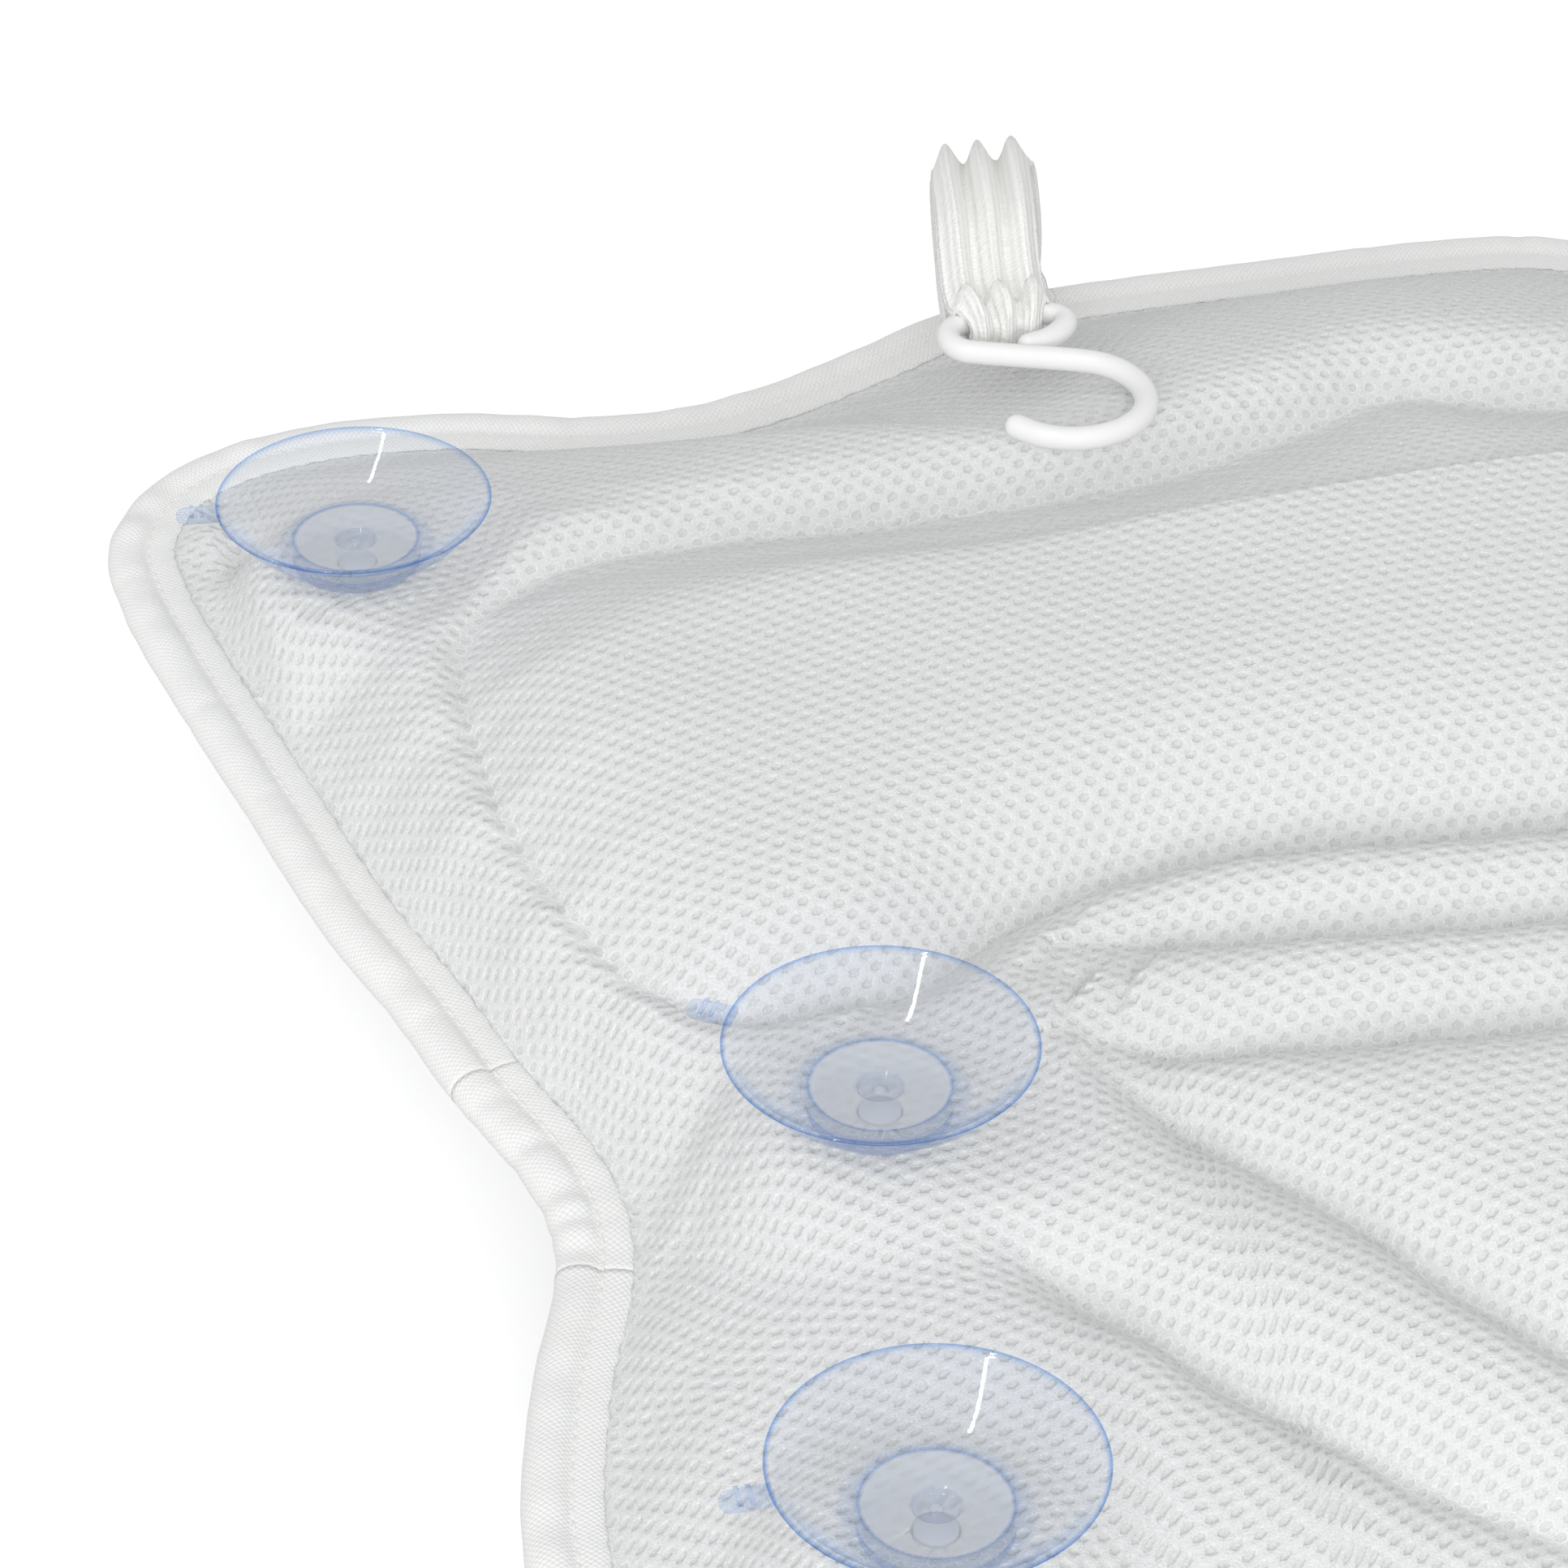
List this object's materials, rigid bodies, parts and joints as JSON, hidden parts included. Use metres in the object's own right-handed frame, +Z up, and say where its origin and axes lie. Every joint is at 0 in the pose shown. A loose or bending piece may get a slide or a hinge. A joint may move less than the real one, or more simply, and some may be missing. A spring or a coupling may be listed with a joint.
{
  "type": "bath pillow",
  "caption": "Butterfly-shaped air-mesh bath pillow with bound edge and sewn channels, suction cups on its back and an open hook on a strap for hanging up.",
  "frame": {"origin": "middle of the surface that the pillow lies on, face down", "axes": "+X across the pillow, to the right with the head end away and the cups up; +Y towards the head end; +Z up, out of the back"},
  "size_m": [0.4338, 0.3607, 0.0822],
  "materials": {
    "mesh": "open hexagonal spacer mesh",
    "tape": "fine knit tape",
    "wadding": "loose polyester fibre",
    "cup_vinyl": "clear soft vinyl, faintly blue",
    "patch": "plain washer",
    "hook_plastic": "satin moulded plastic",
    "strap_knit": "soft gathered knit"
  },
  "bodies": {
    "pillow": {"back_cover": "mesh", "front_cover": "mesh", "head_binding": "tape", "waist_binding_left": "tape", "waist_binding_right": "tape", "foot_binding": "tape", "head_fill": "wadding", "body_fill": "wadding", "cup_patch_head_left": "patch", "cup_patch_waist_left": "patch", "cup_patch_foot_left": "patch", "cup_patch_head_right": "patch", "cup_patch_waist_right": "patch", "cup_patch_foot_right": "patch", "hang_strap_sewn_end": "strap_knit"},
    "cup_head_left": {"cup_head_left": "cup_vinyl"},
    "cup_waist_left": {"cup_waist_left": "cup_vinyl"},
    "cup_foot_left": {"cup_foot_left": "cup_vinyl"},
    "cup_head_right": {"cup_head_right": "cup_vinyl"},
    "cup_waist_right": {"cup_waist_right": "cup_vinyl"},
    "cup_foot_right": {"cup_foot_right": "cup_vinyl"},
    "strap": {"hang_strap": "strap_knit"},
    "hook": {"hang_hook": "hook_plastic"}
  },
  "joints": [
    {"name": "cup_spin_head_left", "type": "hinge", "parent": "pillow", "child": "cup_head_left", "pos_m": [-0.17902, 0.099, 0.0533], "axis": [0, 0, 1], "continuous": true},
    {"name": "cup_spin_waist_left", "type": "hinge", "parent": "pillow", "child": "cup_waist_left", "pos_m": [-0.13259, -0.06084, 0.0543], "axis": [0, 0, 1], "continuous": true},
    {"name": "cup_spin_foot_left", "type": "hinge", "parent": "pillow", "child": "cup_foot_left", "pos_m": [-0.14496, -0.13608, 0.0463], "axis": [0, 0, 1], "continuous": true},
    {"name": "cup_spin_head_right", "type": "hinge", "parent": "pillow", "child": "cup_head_right", "pos_m": [0.17902, 0.099, 0.0533], "axis": [0, 0, 1], "continuous": true},
    {"name": "cup_spin_waist_right", "type": "hinge", "parent": "pillow", "child": "cup_waist_right", "pos_m": [0.13259, -0.06084, 0.0543], "axis": [0, 0, 1], "continuous": true},
    {"name": "cup_spin_foot_right", "type": "hinge", "parent": "pillow", "child": "cup_foot_right", "pos_m": [0.14496, -0.13608, 0.0463], "axis": [0, 0, 1], "continuous": true},
    {"name": "strap_fold", "type": "hinge", "parent": "pillow", "child": "strap", "pos_m": [-0.0462, 0.17924, 0.04387], "axis": [-1, 0, 0], "range_deg": [0, 150]},
    {"name": "hook_swing", "type": "hinge", "parent": "strap", "child": "hook", "pos_m": [-0.0615, 0.1265, 0.06696], "axis": [-1, 0, 0], "range_deg": [0, 45]}
  ]
}
